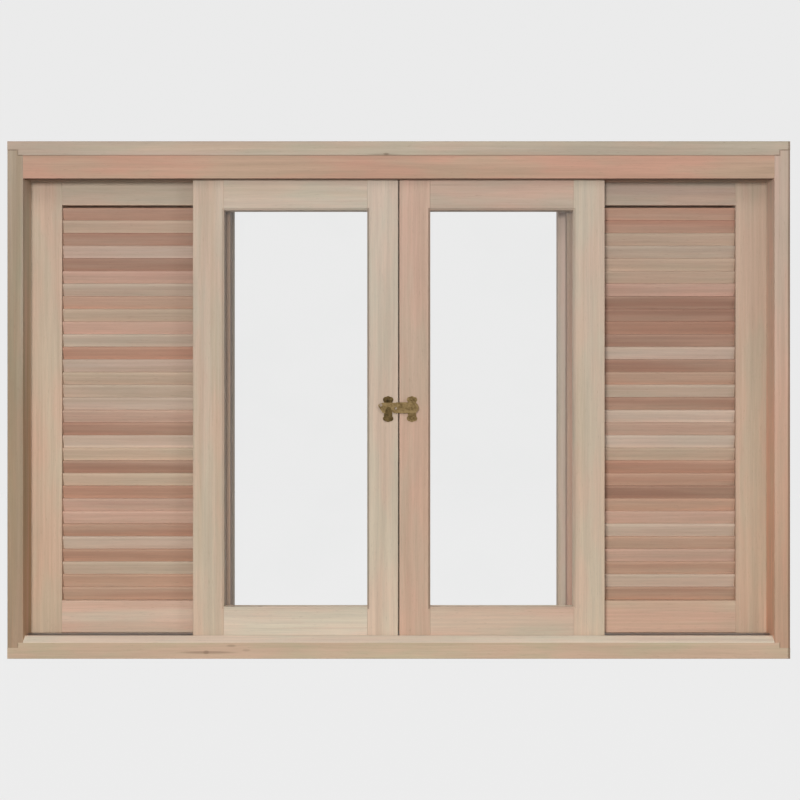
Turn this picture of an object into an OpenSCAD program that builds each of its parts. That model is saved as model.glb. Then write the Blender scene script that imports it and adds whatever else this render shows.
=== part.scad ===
// Sliding louvred window in bare wood: a boxed frame with three tracks, two glass leaves in the
// room-side track, two sliding louvre leaves in the middle one and two fixed louvre leaves behind.
// Origin at the bottom centre of the frame, +X right as seen from the room, +Y outwards, +Z up.
// Leaves are drawn on the right-hand side and mirrored for the left.

/* [Frame] */
// Overall width
frame_w = 1500; // [1460:10:1800]
// Overall height
frame_h = 992; // [800:1:1200]
// Depth from the room face to the outer face
frame_d = 140; // [136:1:180]
// Thickness of the jambs
jamb_t = 30; // [26:1:36]
// Thickness of the head board
head_t = 27; // [22:1:40]
// Thickness of the sill board
sill_t = 31; // [22:1:40]
// Thickness of the jamb's outer tongue, which laps into the head and the sill
lap_w = 20; // [14:1:22]
// How far the tongue goes into the head and the sill
lap_h = 10; // [6:1:14]
// Depth of the track grooves in the jambs
jamb_groove_depth = 5; // [3:0.5:8]
// Radius of the eased edges on all wooden members
arris = 1.2; // [0.6:0.1:2]

/* [Head and sill trim] */
// Thickness of the fascia board under the head
fascia_t = 18; // [14:1:20]
// Height of the fascia board that shows under the head
fascia_h = 44.5; // [36:0.5:60]
// Set-back of the fascia from the room face
fascia_recess = 1; // [0.5:0.5:3]
// Gap between the fascia and the glass leaves
fascia_gap = 4; // [2:0.5:6]
// Thickness of the head parting strips
strip_t = 6; // [4:0.5:8]
// Height of the head parting strips
strip_h = 43; // [34:1:50]
// Running gap between a sliding leaf and a parting strip
strip_gap = 1.5; // [1:0.25:2.5]
// Depth of the lip on the front of the sill
lip_d = 18; // [12:1:20]
// Height of the lip above the sill
lip_h = 11; // [10:0.5:14]
// Height of the square edge below the lip's bevel
lip_edge_h = 1.5; // [1:0.5:6]
// Depth of the flat behind the lip's bevel
lip_flat_d = 3; // [1:0.5:6]
// Height of the stops round the outer edge
outer_stop_h = 15; // [10:1:20]

/* [Leaves] */
// Thickness of every leaf
leaf_t = 30; // [28:1:34]
// Height of the sliding leaves above the sill
leaf_lift = 9; // [8:0.5:12]
// Gap between the sliding leaves and the head, for lifting them out
leaf_head_gap = 28; // [20:1:34]
// Length of the tenons on the rails
tenon_len = 40; // [25:1:48]
// Thickness of the tenons
tenon_t = 10; // [8:0.5:12]
// Shoulder above and below each tenon
tenon_shoulder = 12; // [11:1:16]

/* [Glass leaves] */
// Width of one glass leaf
glass_w = 397; // [370:1:420]
// Gap between the two glass leaves where they meet
meeting_gap = 2; // [1:0.5:4]
// Width of the meeting strip's seat on the left leaf
meeting_seat_w = 15; // [10:1:18]
// How far the meeting strip laps behind the right leaf
meeting_lap_w = 8; // [5:1:12]
// Thickness of the meeting strip
meeting_strip_t = 3; // [2:0.5:4]
// Width of the stiles up to the sight edge
glass_stile_w = 60; // [54:1:70]
// Height of the top rail up to the sight edge
glass_top_h = 74; // [64:1:90]
// Height of the bottom rail up to the sight edge
glass_bottom_h = 56; // [52:1:80]
// Chamfer round the room side of the glass opening
sight_chamfer = 4; // [2:0.5:6]
// Thickness of the wood in front of the pane
glazing_lip_t = 12; // [9:0.5:14]
// Width of the glazing rebate and its beads
rebate_w = 10; // [8:0.5:11]
// Thickness of the panes
pane_t = 4; // [3:0.5:6]
// Gap between a pane's edge and the rebate
pane_gap = 1.5; // [0.5:0.25:3]
// Set-back of the beads from the leaf's outer face
bead_recess = 1; // [0.5:0.5:2]

/* [Louvre leaves] */
// Width of one sliding louvre leaf
louvre_w = 392; // [370:1:410]
// How far a stowed louvre leaf stands in the jamb's groove
louvre_entry = 2; // [1:0.5:2.5]
// Width of the louvre stiles
louvre_stile_w = 62; // [54:1:70]
// Height of the louvre top rail
louvre_top_h = 59; // [54:1:80]
// Height of the louvre bottom rail
louvre_bottom_h = 63; // [56:1:80]
// Width of the left fixed leaf, housed edge included
left_fixed_w = 396; // [380:1:420]
// Width of the right fixed leaf, housed edge included
right_fixed_w = 409; // [380:1:420]

/* [Slats] */
// Width of a slat across its rounded edges
slat_w = 32; // [28:1:34]
// Thickness of a slat
slat_t = 7; // [5:0.5:8]
// Tilt of the slats from upright, room edge high
slat_tilt = 25; // [22:1:45]
// Distance from slat to slat
slat_pitch = 24.85; // [22:0.05:27]
// Gap between the top rail and the first slat
slat_top_gap = 3.5; // [3:0.5:10]
// How deep the slat ends sit in their mortises
slat_seat = 8; // [5:1:12]
// Fall of the bottom rail's weathered ledge towards the outside
weather_drop = 4.5; // [3:0.5:6]

/* [Tracks and rollers] */
// Width of a track rail's foot
track_foot_w = 16; // [12:1:20]
// Thickness of a track rail's foot
track_foot_t = 2; // [1:0.5:3]
// Thickness of a track rail's rib
track_rib_t = 4; // [3:0.5:5]
// How far the rib stands up into the leaf's groove
track_rib_entry = 3; // [2:0.5:4]
// Width of the groove under a sliding leaf
leaf_groove_w = 8; // [7:0.5:9]
// Height of the groove under a sliding leaf
leaf_groove_h = 8; // [6:0.5:9]
// Radius of a roller at the bottom of its groove
roller_root_r = 10; // [8:0.5:11]
// Height of a roller's flanges
roller_flange_h = 2; // [1:0.25:2.5]
// Width of a roller
roller_w = 7.2; // [6.8:0.1:8]
// Distance of each roller from the leaf's edge
roller_inset = 100; // [90:1:140]
// Radius of a roller's axle
axle_r = 2.5; // [2:0.25:3]
// Length of a roller's axle
axle_len = 24; // [21:0.5:26]

/* [Latch] */
// Height of the latch pivot
latch_z = 481; // [420:1:560]
// Distance of the pivot from the leaf's meeting edge
latch_pivot_inset = 27; // [24:0.5:32]
// Distance of the keeper's centre from the leaf's meeting edge
keeper_inset = 19.5; // [17:0.5:22]
// Width of the latch plates
plate_w = 20; // [18:0.5:24]
// Height of the latch plates
plate_h = 50; // [46:0.5:56]
// Thickness of the latch plates
plate_t = 2.5; // [2:0.25:3]
// Length of the arm from its pivot to the tip of its finger hook
arm_len = 68; // [62:0.5:72]
// Height of the arm's broad end
arm_h = 21; // [18:0.5:23]
// Thickness of the arm
arm_t = 3; // [2:0.25:4]
// Radius of the pivot pin
pivot_r = 3; // [2.5:0.25:4]
// Radius of the keeper's post
post_r = 3; // [2:0.25:3.5]
// Radius of the latch screws' heads
screw_head_r = 3.2; // [2.5:0.1:3.5]
// Length of the latch screws in the wood
screw_len = 14; // [8:0.5:20]

/* [Hidden] */
$fn = 48;
left = -1;
right = 1;
sides = [left, right];
// One overrun serves all cuts
overrun = 5;
// Clearances of glued joints, slat mortises, pins and rolling parts
joint_clear = 0.1;
mortise_end_clear = 0.5;
pin_clear = 0.05;
roll_clear = 0.2;
groove_clear = 1;
meeting_clear = 0.5;
meeting_end_gap = 5;
slat_rail_gap = 1.5;
arris_steps = 2;

// Frame levels
front_y = -frame_d / 2;
inner_x = frame_w / 2 - jamb_t;
head_z = frame_h - head_t;
fascia_z = head_z - fascia_h;
strip_z = head_z - strip_h;

// Depth stack from the room face
glass_y = front_y + fascia_recess + fascia_t + fascia_gap;
strip1_y = glass_y + leaf_t + strip_gap;
louvre_y = strip1_y + strip_t + strip_gap;
strip2_y = louvre_y + leaf_t + strip_gap;
fixed_y = strip2_y + strip_t;
outer_stop_y = fixed_y + leaf_t;
outer_stop_d = frame_d / 2 - outer_stop_y;

// Sliding leaves
leaf_z0 = sill_t + leaf_lift;
leaf_z1 = head_z - leaf_head_gap;
glass_x0 = meeting_gap / 2;
glass_x1 = glass_x0 + glass_w;
sight_x0 = glass_x0 + glass_stile_w;
sight_x1 = glass_x1 - glass_stile_w;
sight_z0 = leaf_z0 + glass_bottom_h;
sight_z1 = leaf_z1 - glass_top_h;
louvre_x1 = inner_x + louvre_entry;
louvre_x0 = louvre_x1 - louvre_w;
louvre_z0 = leaf_z0 + louvre_bottom_h;
louvre_z1 = leaf_z1 - louvre_top_h;
fixed_x1 = inner_x + jamb_groove_depth;
function fixed_x0(side) = fixed_x1 - (side == left ? left_fixed_w : right_fixed_w);

// Slats
slat_end_r = slat_t / 2;
slat_half_rise = (slat_w / 2 - slat_end_r) * cos(slat_tilt) + slat_end_r;
slat_count = floor((louvre_z1 - louvre_z0 - slat_top_gap) / slat_pitch);
slat_first_z = louvre_z1 - slat_top_gap - slat_half_rise;
slat_low_z = slat_first_z - (slat_count - 1) * slat_pitch - slat_half_rise;
slat_arc_steps = 4;

// Rollers and tracks
track_z1 = leaf_z0 + track_rib_entry;
axle_z = track_z1 + roll_clear + roller_root_r;
roller_r = roller_root_r + roller_flange_h;
roller_groove_clear = 0.3;
roller_groove_slope = 0.4;
pocket_clear = 1.5;

// Latch
latch_base_offset = -2.5;
plate_drop = 2.5;
plate_z = latch_z - plate_drop;
plate_lobe_r = 5.2;
plate_waist_share = 0.8;
lobe_drop_share = 1.3;
screw_share = 0.36;
screw_r = 1.6;
screw_head_h = 1.4;
screw_slot_w = 0.8;
hub_r = 6.5;
hub_t = 1.5;
pivot_head_r = 5.5;
pivot_head_h = 2;
post_drop = 7;
post_gap = 0.3;
latch_pivot_x = glass_x0 + latch_pivot_inset;
keeper_x = glass_x0 + keeper_inset;
plate_y = glass_y - plate_t;
arm_y1 = plate_y - hub_t - joint_clear;
arm_y0 = arm_y1 - arm_t;
// Outline of the arm beyond its broad end, as shares of its length and of half its height
arm_broad_share = 0.48;
hook_shares = [
    [-0.44, 0.94], [-0.86, 0.94], [-0.94, 0.78], [-1, 0.5], [-0.98, 0.2], [-0.87, -0.92], [-0.8, -1],
    [-0.78, -0.4], [-0.75, 0.02], [-0.7, 0.16], [-0.64, 0.02], [-0.61, -0.5], [-0.57, -0.94], [-0.44, -1]
];
// Two round holes, one in the broad end and one in the tip, in the same shares, with the radius last
arm_holes = [[-0.5, -0.08, 0.24], [-0.92, 0.5, 0.28]];

// Colours
beige_wood = [0.74, 0.66, 0.54];
pale_wood = [0.79, 0.7, 0.61];
pink_wood = [0.8, 0.62, 0.53];
slat_wood = [0.72, 0.56, 0.46];
glass_tint = [0.9, 0.94, 0.93, 0.35];
brass_tint = [0.52, 0.44, 0.26];
rail_metal = [0.72, 0.73, 0.74];
axle_metal = [0.6, 0.6, 0.62];
nylon_white = [0.9, 0.9, 0.88];

// Outlines and bars

// Rectangle from the origin with its four corners eased by short arcs
function eased_rect(w, h, r = arris) = [
    for (c = [[w - r, h - r, 0], [r, h - r, 90], [r, r, 180], [w - r, r, 270]])
        for (i = [0 : arris_steps])
            [c[0] + r * cos(c[2] + 90 * i / arris_steps), c[1] + r * sin(c[2] + 90 * i / arris_steps)]
];

// Slat section on its own axes: a strip with half-round edges
function slat_section() = [
    for (end = [0, 1])
        for (i = [0 : slat_arc_steps])
            let (turn = 180 * (end + i / slat_arc_steps) - 90, reach = slat_w / 2 - slat_end_r)
                [(1 - 2 * end) * reach + slat_end_r * cos(turn), slat_end_r * sin(turn)]
];

// Turns an outline drawn in Y and Z into a solid along X
module along_x(x0, x1) {
    translate([x0, 0, 0]) rotate([90, 0, 90]) linear_extrude(x1 - x0) children();
}

// Eased bar along X
module bar_x(x0, x1, y, d, z, h) {
    along_x(x0, x1) translate([y, z]) polygon(eased_rect(d, h));
}

// Eased bar along Z
module bar_z(x, w, y, d, z0, z1) {
    translate([x, y, z0]) linear_extrude(z1 - z0) polygon(eased_rect(w, d));
}

// Plain block between two corners
module block(low, high) {
    translate(low) cube(high - low);
}

// Mirrors what is drawn on the right to the named side
module on_side(side) {
    mirror([side == left ? 1 : 0, 0, 0]) children();
}

// Frame

// Space at a frame corner that the jamb's tongue fills
module corner_lap(z0, z1) {
    for (side = sides)
        on_side(side) block([frame_w / 2 - lap_w, front_y - overrun, z0],
                            [frame_w / 2 + overrun, -front_y + overrun, z1]);
}

module head() {
    color(beige_wood) difference() {
        bar_x(-frame_w / 2, frame_w / 2, front_y, frame_d, head_z, head_t);
        corner_lap(head_z - overrun, head_z + lap_h);
    }
}

module sill() {
    color(beige_wood) difference() {
        bar_x(-frame_w / 2, frame_w / 2, front_y, frame_d, 0, sill_t);
        corner_lap(sill_t - lap_h, sill_t + overrun);
    }
}

// Jamb with a tongue at each end and a groove for each louvre track
module jamb(side) {
    shoulder_x = frame_w / 2 - lap_w;
    tracks = [[louvre_y, groove_clear], [fixed_y, joint_clear]];
    color(beige_wood) on_side(side) difference() {
        bar_z(inner_x, jamb_t, front_y, frame_d, sill_t - lap_h, head_z + lap_h);
        block([inner_x - overrun, front_y - overrun, head_z],
              [shoulder_x, -front_y + overrun, head_z + lap_h + overrun]);
        block([inner_x - overrun, front_y - overrun, sill_t - lap_h - overrun],
              [shoulder_x, -front_y + overrun, sill_t]);
        for (track = tracks)
            block([inner_x - overrun, track[0] - track[1], sill_t - overrun],
                  [inner_x + jamb_groove_depth, track[0] + leaf_t + track[1], head_z + overrun]);
    }
}

module head_fascia() {
    color(pink_wood) bar_x(-inner_x, inner_x, front_y + fascia_recess, fascia_t, fascia_z, fascia_h);
}

module head_parting_strips() {
    color(pale_wood)
        for (y = [strip1_y, strip2_y]) bar_x(-inner_x, inner_x, y, strip_t, strip_z, strip_h);
}

// Lip on the front of the sill, bevelled on its room side
module sill_lip() {
    back_y = front_y + lip_d;
    color(pale_wood) along_x(-inner_x, inner_x) polygon([
        [front_y, sill_t], [back_y, sill_t], [back_y, sill_t + lip_h],
        [back_y - lip_flat_d, sill_t + lip_h], [front_y, sill_t + lip_edge_h]
    ]);
}

// Strips round the outer edge that the fixed leaves stand against
module outer_stops() {
    color(pale_wood) {
        for (z = [sill_t, head_z - outer_stop_h])
            bar_x(-inner_x, inner_x, outer_stop_y, outer_stop_d, z, outer_stop_h);
        for (side = sides)
            on_side(side) bar_z(inner_x - outer_stop_h, outer_stop_h, outer_stop_y, outer_stop_d,
                                sill_t + outer_stop_h + joint_clear,
                                head_z - outer_stop_h - joint_clear);
    }
}

// One rail of an upturned T section under each sliding leaf
module track_rails() {
    color(rail_metal)
        for (y = [glass_y, louvre_y])
            along_x(-inner_x, inner_x) translate([y + leaf_t / 2, sill_t]) {
                translate([-track_foot_w / 2, 0]) square([track_foot_w, track_foot_t]);
                translate([-track_rib_t / 2, 0]) square([track_rib_t, track_z1 - sill_t]);
            }
}

// Joints shared by all leaves

// Tenons at both ends of a rail, grown by a clearance where they cut a mortise
module tenons(x0, x1, y, z0, z1, clear = 0, end_clear = 0) {
    reach = tenon_len + end_clear;
    depth = [y + (leaf_t - tenon_t) / 2 - clear, y + (leaf_t + tenon_t) / 2 + clear];
    block([x0 - reach, depth[0], z0 + tenon_shoulder - clear],
          [x1 + reach, depth[1], z1 - tenon_shoulder + clear]);
}

// Rail between two stiles with its tenons
module rail(x0, x1, y, z0, z1) {
    bar_x(x0, x1, y, leaf_t, z0, z1 - z0);
    tenons(x0, x1, y, z0, z1);
}

// Stile with mortises for the two rails, whose levels are [[low, high], [low, high]]
module stile(x, w, y, z0, z1, rail_x, rail_levels) {
    difference() {
        bar_z(x, w, y, leaf_t, z0, z1);
        for (level = rail_levels)
            tenons(rail_x[0], rail_x[1], y, level[0], level[1], joint_clear, mortise_end_clear);
    }
}

// Groove under a sliding leaf, which runs over the track's rib
module leaf_groove(x0, x1, y) {
    middle_y = y + leaf_t / 2;
    block([x0 - overrun, middle_y - leaf_groove_w / 2, leaf_z0 - overrun],
          [x1 + overrun, middle_y + leaf_groove_w / 2, leaf_z0 + leaf_groove_h]);
}

// Places its children at the two roller axes of a leaf
module at_rollers(x0, x1, y) {
    for (x = [x0 + roller_inset, x1 - roller_inset]) translate([x, y, axle_z]) children();
}

// Pocket for a roller, cut up from the groove, with the blind hole for its axle
module roller_pocket() {
    half_l = roller_r + pocket_clear;
    half_w = roller_w / 2 + pocket_clear / 2;
    block([-half_l, leaf_t / 2 - half_w, leaf_z0 - axle_z - overrun],
          [half_l, leaf_t / 2 + half_w, roller_r + pocket_clear]);
    translate([0, leaf_t + overrun, 0])
        rotate([90, 0, 0]) cylinder(h = axle_len + overrun, r = axle_r + pin_clear);
}

module leaf_axles(side, x0, x1, y) {
    color(axle_metal) on_side(side) at_rollers(x0, x1, y)
        translate([0, leaf_t, 0]) rotate([90, 0, 0]) cylinder(h = axle_len, r = axle_r);
}

// Grooved roller that runs on the track's rib
module roller(side, x, y) {
    half_w = roller_w / 2;
    root_w = track_rib_t / 2 + roller_groove_clear;
    bore_r = axle_r + pin_clear;
    color(nylon_white) on_side(side) translate([x, y + leaf_t / 2, axle_z]) rotate([90, 0, 0])
        rotate_extrude() polygon([
            [bore_r, -half_w], [roller_r, -half_w], [roller_r, -root_w - roller_groove_slope],
            [roller_root_r, -root_w], [roller_root_r, root_w],
            [roller_r, root_w + roller_groove_slope], [roller_r, half_w], [bore_r, half_w]
        ]);
}

// Glass leaves

// Room-side chamfer and outer rebate round the glass opening
module glass_opening() {
    grown = sight_chamfer + overrun;
    cut_y = [glass_y - overrun, glass_y + sight_chamfer];
    intersection() {
        translate([0, 0, sight_z0 - grown]) linear_extrude(sight_z1 - sight_z0 + 2 * grown) polygon([
            [sight_x0 - grown, cut_y[0]], [sight_x1 + grown, cut_y[0]],
            [sight_x1, cut_y[1]], [sight_x0, cut_y[1]]
        ]);
        along_x(sight_x0 - grown, sight_x1 + grown) polygon([
            [cut_y[0], sight_z0 - grown], [cut_y[1], sight_z0],
            [cut_y[1], sight_z1], [cut_y[0], sight_z1 + grown]
        ]);
    }
    block([sight_x0 - rebate_w, glass_y + glazing_lip_t, sight_z0 - rebate_w],
          [sight_x1 + rebate_w, glass_y + leaf_t + overrun, sight_z1 + rebate_w]);
}

module glass_stile(side, x) {
    color(pale_wood) on_side(side) difference() {
        stile(x, glass_stile_w, glass_y, leaf_z0, leaf_z1, [sight_x0, sight_x1],
              [[leaf_z0, sight_z0], [sight_z1, leaf_z1]]);
        glass_opening();
        leaf_groove(glass_x0, glass_x1, glass_y);
        children();
    }
}

module glass_outer_stile(side) {
    glass_stile(side, sight_x1);
}

module glass_meeting_stile(side) {
    glass_stile(side, glass_x0)
        at_screws(side == left ? keeper_x : latch_pivot_x + latch_base_offset) screw_hole();
}

module glass_top_rail(side) {
    color(pale_wood) on_side(side) difference() {
        rail(sight_x0, sight_x1, glass_y, sight_z1, leaf_z1);
        glass_opening();
    }
}

module glass_bottom_rail(side) {
    color(pale_wood) on_side(side) difference() {
        rail(sight_x0, sight_x1, glass_y, leaf_z0, sight_z0);
        glass_opening();
        leaf_groove(glass_x0, glass_x1, glass_y);
        at_rollers(glass_x0, glass_x1, glass_y) roller_pocket();
    }
}

module pane(side) {
    edge = rebate_w - pane_gap;
    color(glass_tint) on_side(side)
        block([sight_x0 - edge, glass_y + glazing_lip_t, sight_z0 - edge],
              [sight_x1 + edge, glass_y + glazing_lip_t + pane_t, sight_z1 + edge]);
}

// Strip behind the left leaf's meeting edge, which laps behind the right leaf and shuts the gap
module meeting_strip() {
    back_y = glass_y + leaf_t;
    outer_y = back_y + meeting_strip_t;
    z0 = leaf_z0 + meeting_end_gap;
    seat_x = glass_x0 + meeting_seat_w;
    lap_x = -glass_x0 - meeting_lap_w;
    color(pale_wood) on_side(left)
        translate([0, 0, z0]) linear_extrude(strip_z - meeting_end_gap - z0) polygon([
            [glass_x0, back_y], [seat_x, back_y], [seat_x, outer_y - arris], [seat_x - arris, outer_y],
            [lap_x + arris, outer_y], [lap_x, outer_y - arris], [lap_x, back_y + meeting_clear],
            [glass_x0, back_y + meeting_clear]
        ]);
}

// Four beads that hold a pane from the outer side
module glazing_beads(side) {
    bead_y = glass_y + glazing_lip_t + pane_t;
    bead_t = leaf_t - glazing_lip_t - pane_t - bead_recess;
    color(pale_wood) on_side(side) {
        for (z = [sight_z0 - rebate_w, sight_z1])
            bar_x(sight_x0 - rebate_w, sight_x1 + rebate_w, bead_y, bead_t, z, rebate_w);
        for (x = [sight_x0 - rebate_w, sight_x1])
            bar_z(x, rebate_w, bead_y, bead_t, sight_z0 + joint_clear, sight_z1 - joint_clear);
    }
}

// Louvre leaves

// Draws children, an outline on the slat's own axes, at every slat of a leaf
module slat_stack(x0, x1, y) {
    for (i = [0 : slat_count - 1])
        along_x(x0, x1) translate([y + leaf_t / 2, slat_first_z - i * slat_pitch])
            rotate(90 + slat_tilt) children();
}

module slats(side, x0, x1, y) {
    color(slat_wood) on_side(side)
        slat_stack(x0 + louvre_stile_w - slat_seat, x1 - louvre_stile_w + slat_seat, y)
            polygon(slat_section());
}

// Stile with a slanted mortise for every slat
module louvre_stile(side, x, x0, x1, y, z0, z1) {
    rail_x = [x0 + louvre_stile_w, x1 - louvre_stile_w];
    seat = slat_seat + mortise_end_clear;
    mortise = [slat_w + 2 * joint_clear, slat_t + 2 * joint_clear];
    color(pale_wood) on_side(side) difference() {
        stile(x, louvre_stile_w, y, z0, z1, rail_x, [[z0, louvre_z0], [louvre_z1, z1]]);
        slat_stack(rail_x[0] - seat, rail_x[1] + seat, y) square(mortise, center = true);
        children();
    }
}

module louvre_top_rail(side, x0, x1, y, z1) {
    color(pale_wood) on_side(side)
        rail(x0 + louvre_stile_w, x1 - louvre_stile_w, y, louvre_z1, z1);
}

// Bottom rail whose outer half is a weathered ledge below the last slat
module louvre_bottom_rail(side, x0, x1, y, z0) {
    rail_x = [x0 + louvre_stile_w, x1 - louvre_stile_w];
    middle_y = y + leaf_t / 2;
    back_y = y + leaf_t;
    ledge_z = min(louvre_z0, slat_low_z - slat_rail_gap);
    color(pale_wood) on_side(side) difference() {
        rail(rail_x[0], rail_x[1], y, z0, louvre_z0);
        along_x(rail_x[0] - overrun, rail_x[1] + overrun) polygon([
            [middle_y, ledge_z], [back_y, ledge_z - weather_drop],
            [back_y + overrun, ledge_z - weather_drop], [back_y + overrun, louvre_z0 + overrun],
            [middle_y, louvre_z0 + overrun]
        ]);
        children();
    }
}

module sliding_stile(side, x) {
    louvre_stile(side, x, louvre_x0, louvre_x1, louvre_y, leaf_z0, leaf_z1)
        leaf_groove(louvre_x0, louvre_x1, louvre_y);
}

module sliding_bottom_rail(side) {
    louvre_bottom_rail(side, louvre_x0, louvre_x1, louvre_y, leaf_z0) {
        leaf_groove(louvre_x0, louvre_x1, louvre_y);
        at_rollers(louvre_x0, louvre_x1, louvre_y) roller_pocket();
    }
}

module fixed_stile(side, x) {
    louvre_stile(side, x, fixed_x0(side), fixed_x1, fixed_y, sill_t, head_z);
}

// Latch

// Plate outline with a three-lobed end at top and bottom
module lobed_outline() {
    square([plate_w * plate_waist_share, plate_h - 2 * plate_lobe_r], center = true);
    for (turn = [0, 180]) rotate(turn) {
        translate([0, plate_h / 2 - plate_lobe_r]) circle(plate_lobe_r);
        for (side = sides)
            translate([side * (plate_w / 2 - plate_lobe_r), plate_h / 2 - lobe_drop_share * plate_lobe_r])
                circle(plate_lobe_r);
    }
}

// Places its children at the two screws of a plate whose centre is at x
module at_screws(x) {
    for (end = sides) translate([x, glass_y, plate_z + end * screw_share * plate_h]) children();
}

// Stands an outline drawn in X and Z on the plane at y, growing towards the room
module towards_room(y, t) {
    translate([0, y, 0]) rotate([90, 0, 0]) linear_extrude(t) children();
}

module screw_hole() {
    translate([0, screw_len + mortise_end_clear, 0])
        rotate([90, 0, 0]) cylinder(h = 2 * screw_len, r = screw_r + pin_clear);
}

// Low domed cap on the plane z = 0
module dome(r, h) {
    ball_r = (r * r + h * h) / (2 * h);
    intersection() {
        translate([0, 0, h - ball_r]) sphere(ball_r);
        cylinder(h = 2 * h, r = 2 * r);
    }
}

module screw() {
    rotate([90, 0, 0]) {
        translate([0, 0, -screw_len]) cylinder(h = screw_len + plate_t, r = screw_r);
        translate([0, 0, plate_t]) difference() {
            dome(screw_head_r, screw_head_h);
            block([-screw_head_r, -screw_slot_w / 2, screw_head_h / 2],
                  [screw_head_r, screw_slot_w / 2, 2 * screw_head_h]);
        }
    }
}

module latch_screws(side, x) {
    color(brass_tint) on_side(side) at_screws(x) screw();
}

// Keeper plate with the short post that the arm's hook drops over
module latch_keeper() {
    post_len = plate_y - arm_y1 - post_gap;
    color(brass_tint) on_side(left) {
        difference() {
            towards_room(glass_y, plate_t) translate([keeper_x, plate_z]) lobed_outline();
            at_screws(keeper_x) screw_hole();
        }
        towards_room(plate_y, post_len) translate([keeper_x, latch_z - post_drop]) circle(post_r);
    }
}

// Base plate with a round seat for the arm
module latch_base() {
    base_x = latch_pivot_x + latch_base_offset;
    color(brass_tint) difference() {
        union() {
            towards_room(glass_y, plate_t) translate([base_x, plate_z]) lobed_outline();
            towards_room(plate_y, hub_t) translate([latch_pivot_x, latch_z]) circle(hub_r);
        }
        at_screws(base_x) screw_hole();
        towards_room(glass_y + overrun, plate_t + hub_t + 2 * overrun)
            translate([latch_pivot_x, latch_z]) circle(pivot_r + pin_clear);
    }
}

module latch_pivot() {
    shank = glass_y - arm_y0 + joint_clear;
    color(brass_tint) translate([latch_pivot_x, glass_y, latch_z]) rotate([90, 0, 0]) {
        cylinder(h = shank, r = pivot_r);
        translate([0, 0, shank]) dome(pivot_head_r, pivot_head_h);
    }
}

// Arm outline round its pivot: a broad round end, a bar and a hook with a finger tip
module arm_outline() {
    half_h = arm_h / 2;
    difference() {
        union() {
            circle(half_h);
            translate([-arm_broad_share * arm_len, -half_h]) square([arm_broad_share * arm_len, arm_h]);
            polygon([for (p = hook_shares) [p[0] * arm_len, p[1] * half_h]]);
        }
        for (p = arm_holes) translate([p[0] * arm_len, p[1] * half_h]) circle(p[2] * half_h);
        circle(pivot_r + pin_clear);
    }
}

module latch_arm() {
    color(brass_tint) towards_room(arm_y1, arm_t) translate([latch_pivot_x, latch_z]) arm_outline();
}

// Frame
head();
sill();
jamb(left);  // left_jamb
jamb(right);  // right_jamb
head_fascia();
head_parting_strips();
sill_lip();
outer_stops();
track_rails();

// Fixed louvre leaves
fixed_stile(left, fixed_x1 - louvre_stile_w);  // left_fixed_outer_stile
fixed_stile(left, fixed_x0(left));  // left_fixed_inner_stile
louvre_top_rail(left, fixed_x0(left), fixed_x1, fixed_y, head_z);  // left_fixed_top_rail
louvre_bottom_rail(left, fixed_x0(left), fixed_x1, fixed_y, sill_t);  // left_fixed_bottom_rail
slats(left, fixed_x0(left), fixed_x1, fixed_y);  // left_fixed_slats
fixed_stile(right, fixed_x1 - louvre_stile_w);  // right_fixed_outer_stile
fixed_stile(right, fixed_x0(right));  // right_fixed_inner_stile
louvre_top_rail(right, fixed_x0(right), fixed_x1, fixed_y, head_z);  // right_fixed_top_rail
louvre_bottom_rail(right, fixed_x0(right), fixed_x1, fixed_y, sill_t);  // right_fixed_bottom_rail
slats(right, fixed_x0(right), fixed_x1, fixed_y);  // right_fixed_slats

// Sliding louvre leaves
sliding_stile(left, louvre_x1 - louvre_stile_w);  // left_louvre_outer_stile
sliding_stile(left, louvre_x0);  // left_louvre_meeting_stile
louvre_top_rail(left, louvre_x0, louvre_x1, louvre_y, leaf_z1);  // left_louvre_top_rail
sliding_bottom_rail(left);  // left_louvre_bottom_rail
slats(left, louvre_x0, louvre_x1, louvre_y);  // left_louvre_slats
leaf_axles(left, louvre_x0, louvre_x1, louvre_y);  // left_louvre_axles
sliding_stile(right, louvre_x1 - louvre_stile_w);  // right_louvre_outer_stile
sliding_stile(right, louvre_x0);  // right_louvre_meeting_stile
louvre_top_rail(right, louvre_x0, louvre_x1, louvre_y, leaf_z1);  // right_louvre_top_rail
sliding_bottom_rail(right);  // right_louvre_bottom_rail
slats(right, louvre_x0, louvre_x1, louvre_y);  // right_louvre_slats
leaf_axles(right, louvre_x0, louvre_x1, louvre_y);  // right_louvre_axles

// Glass leaves
glass_outer_stile(left);  // left_glass_outer_stile
glass_meeting_stile(left);  // left_glass_meeting_stile
glass_top_rail(left);  // left_glass_top_rail
glass_bottom_rail(left);  // left_glass_bottom_rail
pane(left);  // left_pane
glazing_beads(left);  // left_glazing_beads
leaf_axles(left, glass_x0, glass_x1, glass_y);  // left_glass_axles
meeting_strip();  // left_meeting_strip
glass_outer_stile(right);  // right_glass_outer_stile
glass_meeting_stile(right);  // right_glass_meeting_stile
glass_top_rail(right);  // right_glass_top_rail
glass_bottom_rail(right);  // right_glass_bottom_rail
pane(right);  // right_pane
glazing_beads(right);  // right_glazing_beads
leaf_axles(right, glass_x0, glass_x1, glass_y);  // right_glass_axles

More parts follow.
